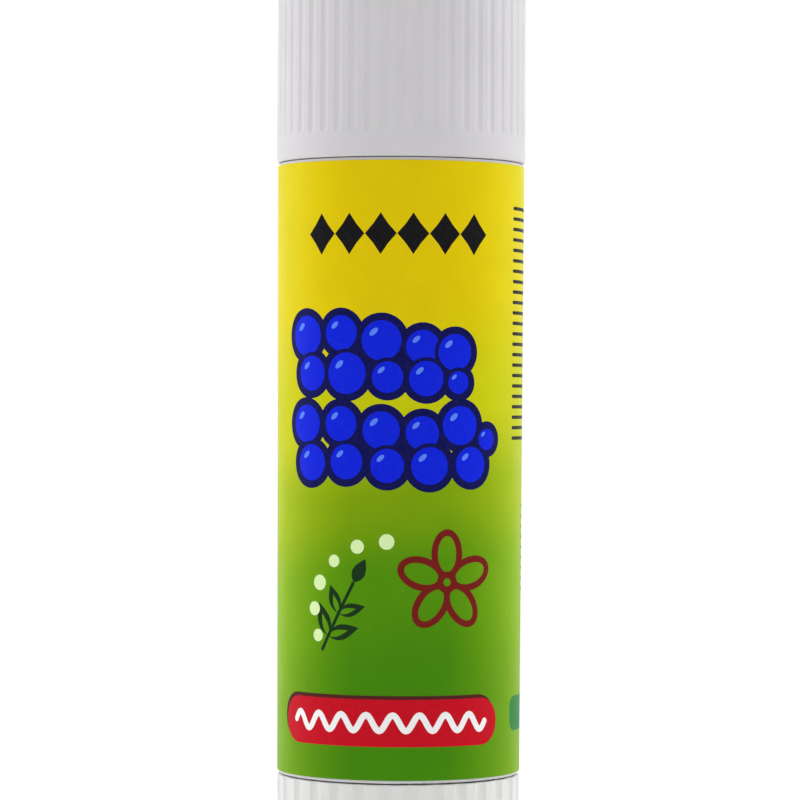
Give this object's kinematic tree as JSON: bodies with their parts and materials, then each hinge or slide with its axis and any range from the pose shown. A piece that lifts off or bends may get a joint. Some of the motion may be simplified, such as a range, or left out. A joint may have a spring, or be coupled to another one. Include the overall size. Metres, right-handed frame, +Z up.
{
  "type": "glue stick",
  "caption": "Twist-up glue stick: white fluted cap and knob, yellow-to-green film label, and a solid glue column that a screw lifts.",
  "frame": {"origin": "centre of the knob's foot, on the surface that the stick stands on", "axes": "+Z up the stick's axis from the knob to the cap, -Y towards the front of the label, +X to the right of the label seen from the front"},
  "size_m": [0.0202, 0.0202, 0.085],
  "materials": {
    "barrel_plastic": "satin white moulded polypropylene",
    "label_film": "glossy printed film, yellow above and green below",
    "screw_plastic": "natural moulded plastic",
    "seal_rubber": "black rubber",
    "carrier_plastic": "natural moulded plastic",
    "glue_paste": "waxy white solid glue",
    "knob_plastic": "satin white moulded polypropylene",
    "cap_plastic": "satin white moulded polypropylene",
    "liner_plastic": "soft natural polyethylene"
  },
  "bodies": {
    "barrel": {"barrel": "barrel_plastic", "label": "label_film"},
    "knob": {"knob": "knob_plastic", "spindle": "screw_plastic", "spindle_seal": "seal_rubber"},
    "carrier": {"carrier": "carrier_plastic", "glue": "glue_paste"},
    "cap": {"cap": "cap_plastic", "cap_liner": "liner_plastic"}
  },
  "joints": [
    {"name": "knob_turn", "type": "hinge", "parent": "barrel", "child": "knob", "pos_m": [0, 0, 0], "axis": [0, 0, 1], "range_deg": [0, 4681]},
    {"name": "carrier_lift", "type": "slide", "parent": "barrel", "child": "carrier", "axis": [0, 0, 1], "range_m": [0, 0.052]},
    {"name": "cap_pull", "type": "slide", "parent": "carrier", "child": "cap", "axis": [0, 0, 1], "range_m": [0, 0.03]}
  ],
  "couplings": [
    {"joint": "knob_turn", "follows": "carrier_lift", "rad_per_m": 1570.8}
  ]
}
